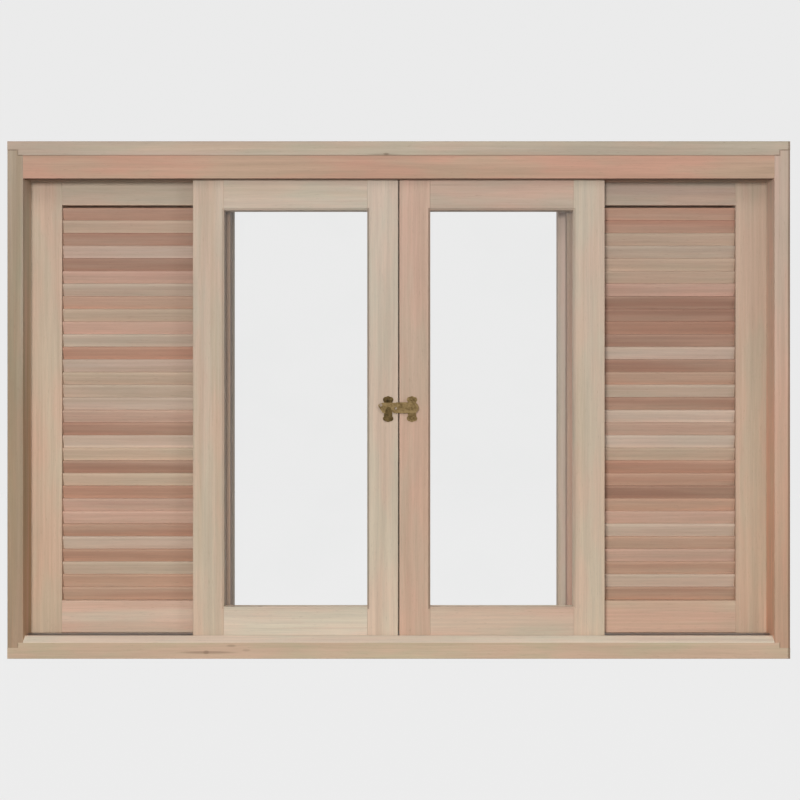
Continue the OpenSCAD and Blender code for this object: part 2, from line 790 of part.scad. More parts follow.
// Rollers
roller(left, glass_x1 - roller_inset, glass_y);  // left_glass_outer_roller
roller(left, glass_x0 + roller_inset, glass_y);  // left_glass_inner_roller
roller(right, glass_x1 - roller_inset, glass_y);  // right_glass_outer_roller
roller(right, glass_x0 + roller_inset, glass_y);  // right_glass_inner_roller
roller(left, louvre_x1 - roller_inset, louvre_y);  // left_louvre_outer_roller
roller(left, louvre_x0 + roller_inset, louvre_y);  // left_louvre_inner_roller
roller(right, louvre_x1 - roller_inset, louvre_y);  // right_louvre_outer_roller
roller(right, louvre_x0 + roller_inset, louvre_y);  // right_louvre_inner_roller

// Latch
latch_keeper();
latch_screws(left, keeper_x);  // keeper_screws
latch_base();
latch_screws(right, latch_pivot_x + latch_base_offset);  // latch_base_screws
latch_pivot();
latch_arm();
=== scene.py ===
"""Looks of a sliding louvred window in bare planed wood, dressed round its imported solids.

The boards, leaves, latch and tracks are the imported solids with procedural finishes. The slats are worked out
anew, one tone to a slat, and small nails and screws are added where such a window has them.
"""
import logging
import math
from dataclasses import dataclass, field
from enum import Enum
from functools import cached_property
from typing import Dict, List, Optional, Sequence, Tuple, Union

import bpy
import numpy as np
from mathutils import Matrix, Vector


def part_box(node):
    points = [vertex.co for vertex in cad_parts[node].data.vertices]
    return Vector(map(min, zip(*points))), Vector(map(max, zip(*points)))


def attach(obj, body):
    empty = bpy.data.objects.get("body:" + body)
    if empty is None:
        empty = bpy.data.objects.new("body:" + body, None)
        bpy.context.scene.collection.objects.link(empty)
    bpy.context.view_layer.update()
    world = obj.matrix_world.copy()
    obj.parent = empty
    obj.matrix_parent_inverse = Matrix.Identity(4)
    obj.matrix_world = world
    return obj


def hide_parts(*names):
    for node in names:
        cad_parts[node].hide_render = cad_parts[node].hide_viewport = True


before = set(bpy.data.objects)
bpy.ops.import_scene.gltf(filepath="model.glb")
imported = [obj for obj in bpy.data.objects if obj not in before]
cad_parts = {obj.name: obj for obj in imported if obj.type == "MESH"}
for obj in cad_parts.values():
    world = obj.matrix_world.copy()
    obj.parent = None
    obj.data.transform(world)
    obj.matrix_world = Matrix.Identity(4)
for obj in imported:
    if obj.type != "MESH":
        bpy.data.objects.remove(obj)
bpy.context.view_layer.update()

LOG = logging.getLogger("louvred_window")
MM = 0.001
Socket = bpy.types.NodeSocket
Pair = Tuple[float, float]
Triple = Tuple[float, float, float]
Shade = Tuple[int, int, int]
Colour = Tuple[float, float, float, float]
Inputs = Dict[Union[int, str], object]
WHITE: Colour = (1.0, 1.0, 1.0, 1.0)
WARM: Colour = (1.0, 0.97, 0.93, 1.0)
# Farthest that a pattern is moved, in metres
SHIFT = 5.0
# Ranges of a share, and of most and of the core of a noise's values
UNIT = (0.0, 1.0)
MOST = (0.3, 0.7)
CORE = (0.36, 0.64)


def linear(shade: Shade) -> Colour:
    """Turns a colour written in 8-bit display values into the linear one that shaders take.

    Args:
        shade: Red, green and blue, from 0 to 255.

    Returns:
        Linear red, green and blue, with an alpha of 1.
    """
    share = np.array(shade) / 255.0
    low, high = share / 12.92, ((share + 0.055) / 1.055) ** 2.4
    red, green, blue = np.where(share <= 0.04045, low, high).tolist()
    return (red, green, blue, 1.0)


class Tone(Enum):
    """Tones that boards of this pinkish pale wood have, as display colours."""

    MILK = (231, 218, 202)
    IVORY = (220, 206, 190)
    CREAM = (210, 195, 178)
    OAT = (200, 183, 165)
    SAND = (196, 174, 153)
    SHELL = (203, 175, 157)
    HAY = (188, 170, 147)
    DOVE = (187, 168, 150)
    TAN = (188, 163, 143)
    ASH = (178, 159, 143)
    OLIVE = (154, 136, 114)
    BLUSH = (197, 168, 149)
    ROSE = (194, 157, 138)
    TERRA = (180, 148, 128)
    CLAY = (181, 143, 122)
    UMBER = (164, 129, 112)
    MOSS = (139, 116, 96)
    BARK = (96, 74, 56)

    @property
    def colour(self) -> Colour:
        """The tone as a linear colour."""
        return linear(self.value)


class Grain(Enum):
    """The way the fibres of a board run, as the place of that axis in a vector."""

    ALONG_X = 0
    ALONG_Z = 2

    def spread(self, along: float, across: float) -> Tuple[float, ...]:
        """Scale on X, Y and Z of a pattern, from its repeats in a metre along and across the fibres."""
        return tuple(along if axis == self.value else across for axis in range(3))

    @property
    def direction(self) -> Triple:
        """Unit vector along the fibres."""
        return tuple(float(axis == self.value) for axis in range(3))


class Pattern(Enum):
    """The wood's noise patterns: repeats in a metre along and across the fibres, octaves and roughness."""

    DRIFT = (2.2, 9.0, 2.0, 0.5)
    BROAD = (1.1, 34.0, 2.0, 0.5)
    BAND = (2.0, 130.0, 2.0, 0.6)
    LINE = (1.6, 380.0, 1.0, 0.5)
    FIBRE = (14.0, 900.0, 2.0, 0.6)
    PORE = (70.0, 1700.0, 1.0, 0.5)
    CLOUD = (2.0, 7.0, 2.0, 0.5)
    BLOTCH = (5.0, 24.0, 3.0, 0.55)


class Graph:
    """Adds and links the nodes of one shader tree."""

    def __init__(self, tree: bpy.types.NodeTree) -> None:
        """Takes a tree and empties it."""
        self.tree = tree
        tree.nodes.clear()

    def add(self, kind: str, values: Optional[Inputs] = None, **settings: object) -> bpy.types.Node:
        """Adds a node, sets its properties, and sets or links its inputs.

        Args:
            kind: Blender's name of the node's type, less the ShaderNode at its start.
            values: Inputs by name or by place: a socket is linked, and any other value is set.
            **settings: Properties of the node itself.

        Returns:
            The new node.
        """
        node = self.tree.nodes.new("ShaderNode" + kind)
        for name, value in settings.items():
            setattr(node, name, value)
        for name, value in (values or {}).items():
            self.feed(node.inputs[name], value)
        return node

    def feed(self, target: Socket, value: object) -> None:
        """Links a socket into an input, or sets the input's own value.

        Args:
            target: The input.
            value: A socket to link, or a value to set.
        """
        if isinstance(value, bpy.types.NodeSocket):
            self.tree.links.new(value, target)
        else:
            target.default_value = value

    @cached_property
    def coords(self) -> bpy.types.bpy_prop_collection:
        """Outputs of the tree's Texture Coordinate node."""
        return self.add("TexCoord").outputs

    def axis(self, name: str, source: str = "Object") -> Socket:
        """One axis of the piece's own coordinates, or of its normal."""
        return self.add("SeparateXYZ", {0: self.coords[source]}).outputs[name]

    def math(self, operation: str, *values: object) -> Socket:
        """A Math node's result, for an operation and its one to three values."""
        return self.add("Math", dict(enumerate(values)), operation=operation).outputs[0]

    def vector(self, operation: str, *values: object) -> bpy.types.Node:
        """A Vector Math node, for an operation and its values."""
        return self.add("VectorMath", dict(enumerate(values)), operation=operation)

    def noise(self, place: Socket, scale: Tuple[float, ...], detail: float = 2.0,
              rough: float = 0.5) -> Socket:
        """Smooth noise on stretched coordinates.

        Args:
            place: Coordinates in metres.
            scale: Repeats in a metre on X, Y and Z.
            detail: Octaves of finer noise.
            rough: Strength of each octave beside the one before it.

        Returns:
            The noise, from 0 to 1 about a half.
        """
        stretched = self.vector("MULTIPLY", place, scale).outputs[0]
        values = {"Vector": stretched, "Scale": 1.0, "Detail": detail, "Roughness": rough}
        return self.add("TexNoise", values).outputs[0]

    def remap(self, value: Socket, old: Pair, new: Tuple[object, object]) -> Socket:
        """Carries a value smoothly from the old range to the new one, and holds it within that."""
        values = {"Value": value, "From Min": old[0], "From Max": old[1], "To Min": new[0], "To Max": new[1]}
        return self.add("MapRange", values, interpolation_type="SMOOTHSTEP").outputs[0]

    def mix(self, share: object, first: object, second: object, blend: str = "MIX") -> Socket:
        """Mixes a share of a second colour into a first, in the way that Blender calls by that name."""
        values = {"Factor": share, 6: first, 7: second}
        return self.add("Mix", values, data_type="RGBA", blend_type=blend).outputs[2]

    def finish(self, shader: bpy.types.Node, output: str = "OutputMaterial") -> None:
        """Links a shader to the tree's output."""
        out = self.add(output)
        self.tree.links.new(shader.outputs[0], out.inputs["Surface"])


def new_material(name: str) -> Tuple[bpy.types.Material, Graph]:
    """Makes an empty node material.

    Args:
        name: The material's name.

    Returns:
        The material and the graph that fills it.
    """
    material = bpy.data.materials.new(name)
    material.use_nodes = True
    return material, Graph(material.node_tree)


@dataclass(frozen=True)
class Mark:
    """A dark oval on a board's room side: a natural streak or knot, a dark joint line, or a painted shade
    line.

    Attributes:
        x: Centre, across the window, in metres.
        z: Centre, up the window, in metres.
        half_x: Half its width, in metres.
        half_z: Half its height, in metres.
        depth: How much of the dark tone it takes, from 0 to 1.
    """

    x: float
    z: float
    half_x: float
    half_z: float
    depth: float


@dataclass(frozen=True)
class WoodFinish:
    """Bare planed wood: streaks, fibres, pores and end grain in the board's own space, with painted light and
    shade.

    Attributes:
        name: Name of the material.
        body: Main tone.
        streak: Tone of the broad streaks.
        grain: The way the fibres run.
        seed: Moves the pattern, so that each board has its own.
        streak_share: The most that a streak takes of its tone.
        marks: Dark streaks and knots that this board has.
        painted_flank_light: Painted light or shade on the board's narrow faces, which stand edge-on to the
            room, as a multiplier.
        bevel: The same painted light or shade for faces that are turned halfway from the room.
        posts: Centre and half the span, in X, past which pieces of the same solid stand upright.
        low_painted_light: Painted light at the sill: what the colour is multiplied by there.
        high_painted_light: Painted light at the head: what the colour is multiplied by there.
        blush: What it is multiplied by in the wood's pink patches.
        sage: What it is multiplied by in the patches between them.
        sway: How far the fibres wander, in metres.
        fray: How ragged the rims of the marks are.
        painted_light_heights: Heights between which the painted light at the sill turns into that at the head,
            in metres.
    """

    name: str
    body: Tone
    streak: Tone
    grain: Grain
    seed: int
    streak_share: float = 0.65
    marks: Tuple[Mark, ...] = ()
    painted_flank_light: float = 1.0
    bevel: float = 1.0
    posts: Optional[Pair] = None
    low_painted_light: Colour = (1.10, 1.08, 1.05, 1.0)
    high_painted_light: Colour = (0.95, 0.97, 1.0, 1.0)
    blush: Colour = (1.04, 0.985, 0.975, 1.0)
    sage: Colour = (0.96, 1.01, 1.0, 1.0)
    sway: float = 12 * MM
    fray: float = 1.4
    painted_light_heights: Pair = (0.05, 0.95)

    def body_colour(self, graph: Graph) -> object:
        """The main colour: the same all over a board."""
        return self.body.colour

    def place(self, graph: Graph) -> Socket:
        """Coordinates of the pattern: the piece's own, moved by its seed."""
        shift = np.random.default_rng(self.seed).uniform(-SHIFT, SHIFT, 3)
        return graph.vector("ADD", graph.coords["Object"], tuple(float(s) for s in shift)).outputs[0]

    def patterned(self, graph: Graph, place: Socket, pattern: Pattern) -> Socket:
        """Noise of one of the wood's patterns, stretched along the fibres."""
        along, across, detail, rough = pattern.value
        return graph.noise(place, self.grain.spread(along, across), detail, rough)

    def laid(self, graph: Graph, vector: Socket) -> Socket:
        """Lets X and Z change places in the upright pieces of a solid that also has level ones.

        Args:
            graph: The tree to add to.
            vector: Coordinates or a direction.

        Returns:
            The vector, turned where a piece stands upright.
        """
        if self.posts is None:
            return vector
        centre, half = self.posts
        away = graph.math("ABSOLUTE", graph.math("SUBTRACT", graph.axis("X"), centre))
        axes = graph.add("SeparateXYZ", {0: vector}).outputs
        upright = graph.add("CombineXYZ", {0: axes["Z"], 1: axes["Y"], 2: axes["X"]}).outputs[0]
        return graph.mix(graph.math("GREATER_THAN", away, half), vector, upright)

    def painted_height_light(self, graph: Graph, colour: Socket) -> Socket:
        """Paints light by height: multiplies the colour by low_painted_light at the sill, turning into
        high_painted_light at the head.
        """
        share = graph.remap(graph.axis("Z"), self.painted_light_heights, UNIT)
        return graph.mix(1.0, colour, graph.mix(share, self.low_painted_light, self.high_painted_light), "MULTIPLY")

    def turned(self, graph: Graph, colour: Socket) -> Socket:
        """Paints light and shade on the faces that are turned from the room, giving them their own level.

        Args:
            graph: The tree to add to.
            colour: The wood's colour.

        Returns:
            The colour with the painted light or shade of its face.
        """
        frontal = graph.math("ABSOLUTE", graph.axis("Y", "Normal"))
        edge = graph.remap(frontal, (0.2, 0.6), (self.painted_flank_light, self.bevel))
        level = graph.remap(frontal, (0.75, 0.95), (edge, 1.0))
        return graph.add("VectorMath", {0: colour, "Scale": level}, operation="SCALE").outputs[0]

    def marked(self, graph: Graph, colour: Socket, ragged: Socket) -> Socket:
        """Darkens the board's marks, which are ovals with ragged rims.

        Args:
            graph: The tree to add to.
            colour: The wood's colour.
            ragged: Noise that frays the rims.

        Returns:
            The colour with the marks.
        """
        for mark in self.marks:
            centre = graph.vector("SUBTRACT", graph.coords["Object"], (mark.x, 0.0, mark.z)).outputs[0]
            unit = graph.vector("MULTIPLY", centre, (1 / mark.half_x, 0.0, 1 / mark.half_z)).outputs[0]
            reach = graph.math("ADD", graph.vector("LENGTH", unit).outputs["Value"], ragged)
            share = graph.remap(reach, (0.6, 1.6), (mark.depth, 0.0))
            colour = graph.mix(share, colour, Tone.BARK.colour)
        return colour

    def build(self) -> bpy.types.Material:
        """Makes the material.

        Returns:
            The finished material.
        """
        material, graph = new_material(self.name)
        place = self.laid(graph, self.place(graph))
        drift = self.patterned(graph, place, Pattern.DRIFT)
        sway = graph.math("MULTIPLY_ADD", drift, self.sway, -self.sway / 2)
        bent = graph.vector("ADD", place, sway).outputs[0]
        kinds = (Pattern.BROAD, Pattern.BAND, Pattern.LINE, Pattern.FIBRE, Pattern.PORE, Pattern.BLOTCH)
        broad, band, line, fibre, pore, blotch = (self.patterned(graph, bent, kind) for kind in kinds)
        cloud = self.patterned(graph, place, Pattern.CLOUD)
        streaks = graph.remap(broad, CORE, (0.0, self.streak_share))
        colour = graph.mix(streaks, self.body_colour(graph), self.streak.colour)
        for source, low, high in ((cloud, 0.95, 1.05), (band, 0.94, 1.05), (fibre, 0.95, 1.04)):
            level = graph.remap(source, MOST, (low, high))
            grey = graph.add("CombineColor", {0: level, 1: level, 2: level}).outputs[0]
            colour = graph.mix(1.0, colour, grey, "MULTIPLY")
        tint = graph.mix(graph.remap(blotch, CORE, UNIT), self.blush, self.sage)
        colour = graph.mix(1.0, colour, tint, "MULTIPLY")
        colour = graph.mix(graph.remap(line, (0.62, 0.78), (0.0, 0.22)), colour, Tone.CLAY.colour)
        pores = graph.remap(pore, (0.66, 0.78), (0.0, 0.3))
        colour = graph.mix(pores, colour, Tone.BARK.colour)
        colour = self.painted_height_light(graph, colour)
        ragged = graph.math("MULTIPLY_ADD", line, self.fray, -self.fray / 2)
        colour = self.marked(graph, colour, ragged)
        normal = self.laid(graph, graph.coords["Normal"])
        facing = graph.vector("DOT_PRODUCT", normal, self.grain.direction).outputs["Value"]
        ends = graph.remap(graph.math("ABSOLUTE", facing), (0.6, 0.9), (0.0, 0.45))
        colour = graph.mix(ends, colour, Tone.UMBER.colour)
        # Painted light and shade on the faces turned from the room
        if (self.painted_flank_light, self.bevel) != (1.0, 1.0):
            colour = self.turned(graph, colour)
        relief = graph.math("SUBTRACT", graph.math("ADD", fibre, band), pores)
        bump = graph.add("Bump", {"Height": relief, "Strength": 0.22, "Distance": 0.0006})
        shader = graph.add("BsdfPrincipled", {
            "Base Color": colour,
            "Roughness": graph.remap(fibre, MOST, (0.58, 0.78)),
            "Normal": bump.outputs[0],
            "Specular IOR Level": 0.25,
        })
        graph.finish(shader)
        return material


@dataclass(frozen=True)
class Board:
    """Tones of one board of a leaf, with the light and shade painted on its turned faces.

    Attributes:
        body: Main tone.
        streak: Tone of the broad streaks.
        painted_flank_light: Painted light or shade on its narrow faces, which stand edge-on to the room, as a
            multiplier.
        bevel: The same painted light or shade for faces that are turned halfway from the room.
    """

    body: Tone
    streak: Tone
    painted_flank_light: float = 1.0
    bevel: float = 1.0


@dataclass(frozen=True)
class SlatFinish(WoodFinish):
    """Wood of a stack of slats: each slat's tone and shift of grain are written on its own points."""

    tone_layer: str = "slat_tone"
    shift_layer: str = "grain_shift"

    def body_colour(self, graph: Graph) -> object:
        """The main colour: read from the slat."""
        return graph.add("Attribute", attribute_name=self.tone_layer).outputs["Color"]

    def place(self, graph: Graph) -> Socket:
        """Coordinates of the pattern: the piece's own, moved by the slat's shift."""
        shift = graph.add("Attribute", attribute_name=self.shift_layer).outputs["Vector"]
        return graph.vector("ADD", graph.coords["Object"], shift).outputs[0]


@dataclass(frozen=True)
class MetalFinish:
    """Metal with a clean tone, a dull one in clouds and spots, and fine relief.

    Attributes:
        name: Name of the material.
        clean: Display colour where it is rubbed clean.
        dull: Display colour where it has dulled.
        roughness: Roughness of the clean and of the dull metal.
        dull_range: Noise values between which clean turns to dull.
        relief: Height of the surface's unevenness, in metres.
        grid: Repeats of the clouds in a metre on each axis.
    """

    name: str
    clean: Shade
    dull: Shade
    roughness: Pair
    dull_range: Pair
    relief: float
    grid: Triple

    def build(self) -> bpy.types.Material:
        """Makes the material.

        Returns:
            The finished material.
        """
        material, graph = new_material(self.name)
        place = graph.coords["Object"]
        cloud = graph.noise(place, self.grid, 4.0, 0.65)
        pits = graph.noise(place, tuple(6.0 * g for g in self.grid), 2.0)
        dulled = graph.remap(cloud, self.dull_range, UNIT)
        colour = graph.mix(dulled, linear(self.clean), linear(self.dull))
        spots = graph.remap(pits, (0.6, 0.75), (0.0, 0.6))
        colour = graph.mix(spots, colour, linear(self.dull))
        height = graph.math("SUBTRACT", cloud, graph.math("MULTIPLY", pits, 0.5))
        bump = graph.add("Bump", {"Height": height, "Strength": 0.5, "Distance": self.relief})
        shader = graph.add("BsdfPrincipled", {
            "Base Color": colour,
            "Metallic": 1.0,
            "Roughness": graph.remap(cloud, self.dull_range, self.roughness),
            "Normal": bump.outputs[0],
        })
        graph.finish(shader)
        return material


@dataclass(frozen=True)
class NylonFinish:
    """Turned white nylon, a little yellowed in clouds, with turning lines.

    Attributes:
        name: Name of the material.
        clean: Display colour of new nylon.
        aged: Display colour where it has yellowed.
    """

    name: str = "turned_nylon"
    clean: Shade = (226, 224, 216)
    aged: Shade = (208, 200, 178)

    def build(self) -> bpy.types.Material:
        """Makes the material.

        Returns:
            The finished material.
        """
        material, graph = new_material(self.name)
        place = graph.coords["Object"]
        cloud = graph.noise(place, (90.0, 90.0, 90.0), 3.0)
        lines = graph.noise(place, (40.0, 4000.0, 40.0), 1.0)
        yellowed = graph.remap(cloud, (0.35, 0.7), UNIT)
        colour = graph.mix(yellowed, linear(self.clean), linear(self.aged))
        bump = graph.add("Bump", {"Height": lines, "Strength": 0.3, "Distance": 0.0001})
        shader = graph.add("BsdfPrincipled", {
            "Base Color": colour,
            "Roughness": graph.remap(cloud, MOST, (0.35, 0.5)),
            "Normal": bump.outputs[0],
        })
        graph.finish(shader)
        return material


@dataclass(frozen=True)
class GlassFinish:
    """Clear float glass with a faint wave and a breath of green.

    Attributes:
        name: Name of the material.
        tint: Linear colour of the light that comes through.
        smear: Linear colour where the glass is faintly hazed.
    """

    name: str = "float_glass"
    tint: Colour = (0.998, 0.999, 0.998, 1.0)
    smear: Colour = (0.984, 0.988, 0.986, 1.0)

    def build(self) -> bpy.types.Material:
        """Makes the material.

        Returns:
            The finished material.
        """
        material, graph = new_material(self.name)
        place = graph.coords["Object"]
        haze = graph.noise(place, (5.0, 5.0, 7.0), 3.0)
        wave = graph.noise(place, (3.0, 3.0, 1.5), 1.0)
        colour = graph.mix(graph.remap(haze, (0.45, 0.75), UNIT), self.tint, self.smear)
        bump = graph.add("Bump", {"Height": wave, "Strength": 0.05, "Distance": 0.0005})
        shader = graph.add("BsdfPrincipled", {
            "Base Color": colour,
            "Roughness": graph.remap(haze, (0.4, 0.8), (0.0, 0.015)),
            "Transmission Weight": 1.0,
            "IOR": 1.45,
            "Normal": bump.outputs[0],
        })
        graph.finish(shader)
        return material


BRASS = MetalFinish("antique_brass", (172, 146, 102), (130, 108, 72), (0.42, 0.6), (0.35, 0.7), 0.0002,
                    (130.0, 130.0, 130.0))
DARK_BRASS = MetalFinish("dark_brass", (132, 110, 72), (92, 76, 50), (0.45, 0.62), (0.35, 0.7), 0.0002,
                         (130.0, 130.0, 130.0))
ALUMINIUM = MetalFinish("track_aluminium", (196, 197, 198), (160, 160, 160), (0.3, 0.45), (0.4, 0.75), 0.0001,
                        (6.0, 240.0, 240.0))
STEEL = MetalFinish("plated_steel", (176, 176, 178), (120, 118, 114), (0.28, 0.5), (0.4, 0.7), 0.0001,
                    (300.0, 300.0, 300.0))


def dress(node: str, material: bpy.types.Material) -> None:
    """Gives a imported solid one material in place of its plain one.

    Args:
        node: Name of the solid.
        material: Its finish.
    """
    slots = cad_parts[node].data.materials
    slots.clear()
    slots.append(material)
    LOG.info("%s dressed in %s", node, material.name)


def add_piece(name: str, points: np.ndarray, faces: List[Sequence[int]], smooth: np.ndarray,
              material: bpy.types.Material, body: str) -> bpy.types.Object:
    """Makes a mesh piece at the origin and lets it ride on a body.

    Args:
        name: The piece's name.
        points: Points as an array of rows of three.
        faces: The points of each face, outward side first.
        smooth: Which faces are shaded smoothly.
        material: The piece's finish.
        body: The body that carries it.

    Returns:
        The new object.
    """
    mesh = bpy.data.meshes.new(name)
    mesh.from_pydata(points.reshape(-1, 3), [], faces)
    mesh.polygons.foreach_set("use_smooth", np.asarray(smooth, dtype=bool))
    mesh.materials.append(material)
    mesh.update()
    piece = bpy.data.objects.new(name, mesh)
    bpy.context.scene.collection.objects.link(piece)
    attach(piece, body)
    LOG.info("%s built with %d faces, rides on %s", name, len(faces), body)
    return piece


def tube_faces(count: int, rings: int, sides: int, domed: bool) -> Tuple[List[List[int]], np.ndarray]:
    """Faces of many equal closed tubes, whose points are numbered ring by ring.

    Args:
        count: Number of tubes.
        rings: Rings in a tube.
        sides: Points in a ring.
        domed: Whether the last end of a tube is shaded smoothly, as the first never is.

    Returns:
        The points of each face, outward side first, and which faces are shaded smoothly.
    """
    tube, ring, side = np.meshgrid(np.arange(count), np.arange(rings - 1), np.arange(sides), indexing="ij")
    after = (side + 1) % sides
    first = (tube * rings + ring) * sides
    second = first + sides
    around = np.stack([first + side, first + after, second + after, second + side], axis=-1).reshape(-1, 4)
    starts = np.arange(count)[:, None] * rings * sides
    base = starts + np.arange(sides)[::-1]
    crown = starts + (rings - 1) * sides + np.arange(sides)
    smooth = np.r_[np.ones(len(around)), np.zeros(count), np.full(count, float(domed))]
    return around.tolist() + base.tolist() + crown.tolist(), smooth


@dataclass
class NailHeads:
    """Small round heads of the frame's nails or screws, all of one size.

    Attributes:
        radius: Radius of a head, in metres.
        height: How far it stands out, in metres.
        sunk: How far its rim goes into the wood, in metres.
        sides: Points round a head.
        rises: Angles of the rings, in degrees: the sunk rim, then from the surface to the crown.
        body: The body that carries them.
        slot: The record's slot that their finish stands for; not used.
    """

    radius: float
    height: float
    sunk: float
    sides: int = 14
    rises: Tuple[float, ...] = (0.0, 0.0, 30.0, 60.0, 80.0)
    body: str = "frame"
    slot: str = "axle_steel"

    def build(self, name: str, centres: np.ndarray, outward: Triple,
              material: bpy.types.Material) -> bpy.types.Object:
        """Makes the heads: a quarter ellipse from rim to crown, turned about the outward axis.

        Args:
            name: The piece's name.
            centres: Places on the surface, as rows of three.
            outward: The way the heads face.
            material: Their finish.

        Returns:
            The new object.
        """
        axis = np.array(outward)
        helper = np.array([0.0, 0.0, 1.0]) if abs(axis[2]) < 0.5 else np.array([1.0, 0.0, 0.0])
        across = np.cross(helper, axis)
        upward = np.cross(axis, across)
        rise = np.radians(self.rises)
        radii = self.radius * np.cos(rise)
        heights = self.height * np.sin(rise)
        heights[0] = -self.sunk
        turn = np.linspace(0.0, 2.0 * np.pi, self.sides, endpoint=False)
        spokes = np.cos(turn)[:, None] * across + np.sin(turn)[:, None] * upward
        head = radii[:, None, None] * spokes[None] + heights[:, None, None] * axis
        points = centres[:, None, None, :] + head[None]
        faces, smooth = tube_faces(len(centres), len(rise), self.sides, True)
        return add_piece(name, points, faces, smooth, material, self.body)


class Slat(Enum):
    """Display colours of slats from many boards: dark, red, brown, pink, beige, grey and light."""

    D = (167, 131, 112)
    R = (181, 141, 120)
    B = (192, 155, 133)
    P = (200, 166, 148)
    E = (197, 175, 153)
    G = (195, 178, 159)
    L = (206, 186, 169)


@dataclass
class SlatStack:
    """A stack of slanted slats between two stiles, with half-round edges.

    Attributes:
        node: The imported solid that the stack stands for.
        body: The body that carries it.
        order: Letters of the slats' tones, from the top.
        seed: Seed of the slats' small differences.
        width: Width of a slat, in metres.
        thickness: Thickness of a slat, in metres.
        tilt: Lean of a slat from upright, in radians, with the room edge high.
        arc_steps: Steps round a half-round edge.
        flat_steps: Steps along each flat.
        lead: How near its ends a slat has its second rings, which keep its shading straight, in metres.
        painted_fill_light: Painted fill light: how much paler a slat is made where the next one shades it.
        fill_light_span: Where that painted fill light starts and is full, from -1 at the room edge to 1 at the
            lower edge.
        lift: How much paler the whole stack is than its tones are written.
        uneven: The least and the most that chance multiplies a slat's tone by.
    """

    node: str
    body: str
    order: str
    seed: int
    width: float = 32 * MM
    thickness: float = 7 * MM
    tilt: float = math.radians(25.0)
    arc_steps: int = 8
    flat_steps: int = 8
    lead: float = 0.5 * MM
    painted_fill_light: float = 0.35
    fill_light_span: Pair = (0.1, 0.75)
    lift: float = 0.975
    uneven: Pair = (0.96, 1.04)

    def outline(self) -> np.ndarray:
        """Section of a slat on its own axes, across its width and its thickness.

        A half circle about each end of a straight core, joined by flats with evenly spaced points.

        Returns:
            Rows of width and thickness, in order round the section, from the room edge on.
        """
        radius = self.thickness / 2
        core = self.width / 2 - radius
        turn = np.linspace(-np.pi / 2, np.pi / 2, self.arc_steps + 1)
        upper = np.stack([core + radius * np.cos(turn), radius * np.sin(turn)], axis=-1)
        inner = np.linspace(core, -core, self.flat_steps + 2)[1:-1]
        flat = np.stack([inner, np.full(self.flat_steps, radius)], axis=-1)
        return np.vstack([upper, flat, -upper, -flat])

    def section(self) -> np.ndarray:
        """The outline leant by the tilt.

        Returns:
            Rows of Y and Z about the slat's centre.
        """
        outline = self.outline()
        along = np.array([-math.sin(self.tilt), math.cos(self.tilt)])
        across = np.array([-math.cos(self.tilt), -math.sin(self.tilt)])
        return outline[:, :1] * along + outline[:, 1:] * across

    def build(self, material: bpy.types.Material) -> bpy.types.Object:
        """Makes the stack: the section carried straight along X, once for each slat down the stack.

        Args:
            material: The slats' finish.

        Returns:
            The new object.
        """
        low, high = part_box(self.node)
        section = self.section()
        half_rise = float(section[:, 1].max())
        count = len(self.order)
        heights = np.linspace(high.z - half_rise, low.z + half_rise, count)
        places = np.array([low.x, low.x + self.lead, high.x - self.lead, high.x])
        rings = len(places)
        depth = (low.y + high.y) / 2
        points = np.empty((count, rings, len(section), 3))
        points[..., 0] = places[None, :, None]
        points[..., 1] = depth + section[None, None, :, 0]
        points[..., 2] = heights[:, None, None] + section[None, None, :, 1]
        faces, smooth = tube_faces(count, rings, len(section), False)
        piece = add_piece(f"{self.node}_mixed", points, faces, smooth, material, self.body)
        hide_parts(self.node)
        self.write_tones(piece.data, rings)
        return piece

    def write_tones(self, mesh: bpy.types.Mesh, rings: int) -> None:
        """Writes each slat's tone, painted paler where the next slat shades it, and its grain shift on its
        points.

        Args:
            mesh: The stack's mesh.
            rings: Rings of points along a slat.
        """
        chance = np.random.default_rng(self.seed)
        down = -self.outline()[:, 0] / (self.width / 2)
        # Painted fill light: each slat is paler towards its lower edge, where the next slat shades it
        paler = np.tile(1.0 + self.painted_fill_light * np.interp(down, self.fill_light_span, UNIT), rings)
        tones = np.array([linear(Slat[letter].value) for letter in self.order])
        tones[:, :3] *= self.lift * chance.uniform(*self.uneven, (len(self.order), 1))
        shifts = chance.uniform(-SHIFT, SHIFT, (len(self.order), 3))
        tone = mesh.attributes.new(SlatFinish.tone_layer, "FLOAT_COLOR", "POINT")
        graded = tones[:, None, :] * paler[None, :, None]
        tone.data.foreach_set("color", graded.astype(np.float32).ravel())
        shift = mesh.attributes.new(SlatFinish.shift_layer, "FLOAT_VECTOR", "POINT")
        shift.data.foreach_set("vector", np.repeat(shifts, len(paler), axis=0).astype(np.float32).ravel())


@dataclass(frozen=True)
class Kit:
    """Materials that several parts of the window share.

    Attributes:
        glass: Finish of the panes.
        steel: Finish of the axles, nails and screws.
        nylon: Finish of the rollers.
        slat_wood: Finish of the slats.
    """

    glass: bpy.types.Material
    steel: bpy.types.Material
    nylon: bpy.types.Material
    slat_wood: bpy.types.Material


